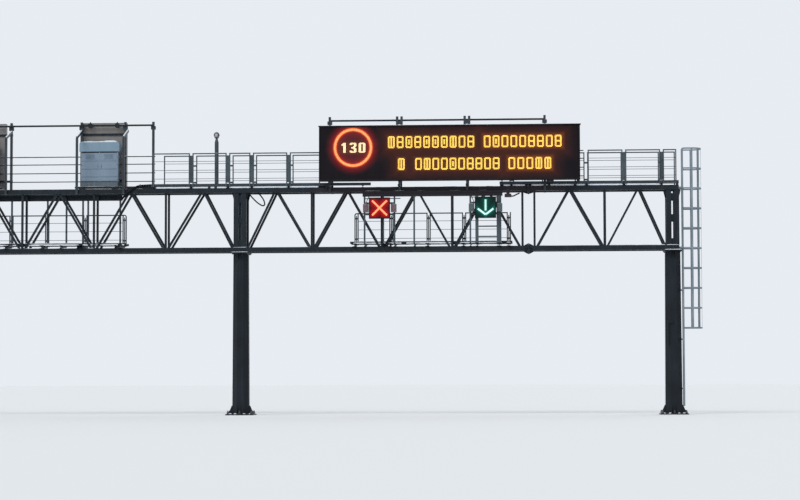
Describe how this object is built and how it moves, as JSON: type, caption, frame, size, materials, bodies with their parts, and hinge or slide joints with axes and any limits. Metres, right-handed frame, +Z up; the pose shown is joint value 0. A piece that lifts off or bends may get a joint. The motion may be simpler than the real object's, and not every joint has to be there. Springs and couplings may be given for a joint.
{
  "type": "overhead sign gantry",
  "caption": "Two-span road gantry: box truss on tapered poles with walkway, message sign, lane signals and rear signs.",
  "frame": {"origin": "centre of the underside of the middle leg's base plate, on the ground", "axes": "+Z up; +X along the truss, to the right for traffic that reads the message sign; +Y the way that traffic drives"},
  "size_m": [33.08, 1.77, 10.69],
  "materials": {
    "painted_steel": "dark grey-blue semi-matte paint with snow on top faces",
    "galvanised": "hot-dip galvanised, dull",
    "sign_case": "black powder coat",
    "display": "dark display with amber and red lamps",
    "back_panel": "dull grey panel",
    "cabinet_blue": "light blue-grey sheet",
    "red_display": "red display",
    "green_display": "green display",
    "lamp_box": "grey sheet box",
    "camera_black": "black dome and housing",
    "cable_black": "black sheathing"
  },
  "bodies": {
    "root": {"base_plates": "painted_steel", "base_fins": "painted_steel", "left_leg": "painted_steel", "middle_leg": "painted_steel", "right_leg": "painted_steel", "head_plates": "painted_steel", "near_side_left": "painted_steel", "near_side_middle": "painted_steel", "near_side_right": "painted_steel", "far_side_left": "painted_steel", "far_side_middle": "painted_steel", "far_side_right": "painted_steel", "leg_head_posts": "painted_steel", "bottom_bracing": "painted_steel", "cross_struts": "painted_steel", "splice_flanges": "painted_steel", "end_flanges": "painted_steel", "deck_bearers": "painted_steel", "deck_edges": "painted_steel", "deck_grating": "galvanised", "near_railing": "painted_steel", "far_railing": "painted_steel", "lower_decks": "painted_steel", "lower_railings": "painted_steel", "masts": "painted_steel", "mast_struts": "painted_steel", "mast_braces": "painted_steel", "mast_rails": "painted_steel", "lifting_rails": "painted_steel", "sign_housing": "sign_case", "sign_face": "display", "sign_brackets": "painted_steel", "signal_beams": "painted_steel", "signal_hangers": "painted_steel", "red_signal": "red_display", "green_signal": "green_display", "signal_lamps": "lamp_box", "back_signs": "back_panel", "rear_cabinets": "cabinet_blue", "cabinet_platforms": "painted_steel", "right_ladder": "galvanised", "right_hoops": "galvanised", "right_cage": "galvanised", "left_ladder": "galvanised", "left_hoops": "galvanised", "left_cage": "galvanised", "camera_mast": "painted_steel", "dome_camera": "camera_black", "junction_boxes": "lamp_box", "cables": "cable_black", "leg_fittings": "painted_steel"}
  },
  "joints": []
}
